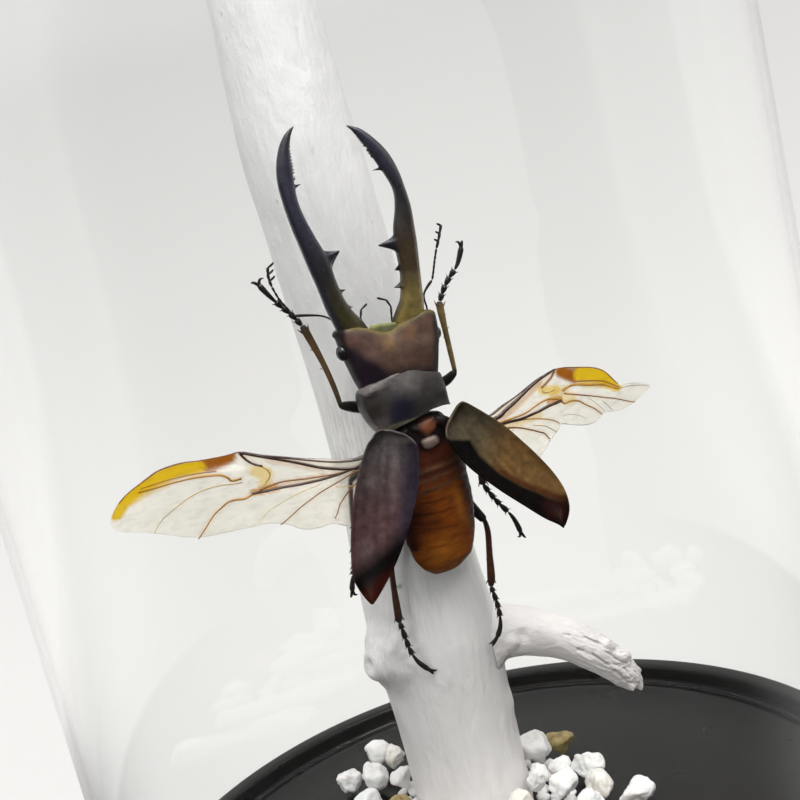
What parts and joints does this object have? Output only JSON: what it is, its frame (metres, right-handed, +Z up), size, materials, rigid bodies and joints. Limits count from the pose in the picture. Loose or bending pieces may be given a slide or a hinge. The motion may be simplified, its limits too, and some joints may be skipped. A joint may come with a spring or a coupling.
{
  "type": "mounted stag beetle in glass dome",
  "caption": "Long-jawed metallic stag beetle in flight pose on an upright white branch, standing in pebbles on a round black base under a clear glass dome.",
  "frame": {"origin": "centre of the base's underside", "axes": "+Z up, -Y the front, towards which the beetle's back faces"},
  "size_m": [0.168, 0.168, 0.248],
  "materials": {
    "black_lacquer": "black gloss lacquer over turned wood or fibreboard",
    "clear_glass": "clear, polished",
    "white_paint": "white satin paint over bark-free wood",
    "bronze_cuticle": "bronze metallic cuticle with gold and purple",
    "black_bronze_cuticle": "black-bronze cuticle with a blue-purple sheen",
    "plum_cuticle": "grey-purple cuticle with a satin sheen",
    "amber_cuticle": "amber translucent cuticle with segment bands",
    "black_cuticle": "black cuticle",
    "wing_membrane": "clear cream membrane with brown veins",
    "clear_glue": "clear hardened adhesive",
    "white_stone": "matte white",
    "ochre_stone": "rough ochre"
  },
  "bodies": {
    "root": {"base": "black_lacquer", "dome": "clear_glass", "branch_trunk": "white_paint", "side_limb": "white_paint", "glue_bead": "clear_glue", "pebble_bed": "white_stone", "head": "bronze_cuticle", "pronotum": "plum_cuticle", "hind_body": "amber_cuticle", "mandible_left": "black_bronze_cuticle", "mandible_right": "black_bronze_cuticle", "elytron_left": "plum_cuticle", "elytron_right": "plum_cuticle", "hind_wing_left": "wing_membrane", "hind_wing_right": "wing_membrane", "leg_front_left": "black_cuticle", "leg_front_right": "black_cuticle", "leg_middle_left": "black_cuticle", "leg_middle_right": "black_cuticle", "leg_hind_left": "black_cuticle", "leg_hind_right": "black_cuticle", "antenna_left": "black_cuticle", "antenna_right": "black_cuticle", "palp_left": "black_cuticle", "palp_right": "black_cuticle", "pebble_white_01": "white_stone", "pebble_white_02": "white_stone", "pebble_white_03": "white_stone", "pebble_white_04": "white_stone", "pebble_white_05": "white_stone", "pebble_white_06": "white_stone", "pebble_white_07": "white_stone", "pebble_white_08": "white_stone", "pebble_white_09": "white_stone", "pebble_white_10": "white_stone", "pebble_white_11": "white_stone", "pebble_white_12": "white_stone", "pebble_white_13": "white_stone", "pebble_white_14": "white_stone", "pebble_white_15": "white_stone", "pebble_white_16": "white_stone", "pebble_white_17": "white_stone", "pebble_white_18": "white_stone", "pebble_white_19": "white_stone", "pebble_white_20": "white_stone", "pebble_white_21": "white_stone", "pebble_white_22": "white_stone", "pebble_white_23": "white_stone", "pebble_white_24": "white_stone", "pebble_white_25": "white_stone", "pebble_white_26": "white_stone", "pebble_ochre_01": "ochre_stone", "pebble_ochre_02": "ochre_stone", "pebble_ochre_03": "ochre_stone", "pebble_ochre_04": "ochre_stone", "pebble_ochre_05": "ochre_stone", "pebble_ochre_06": "ochre_stone"}
  },
  "joints": []
}
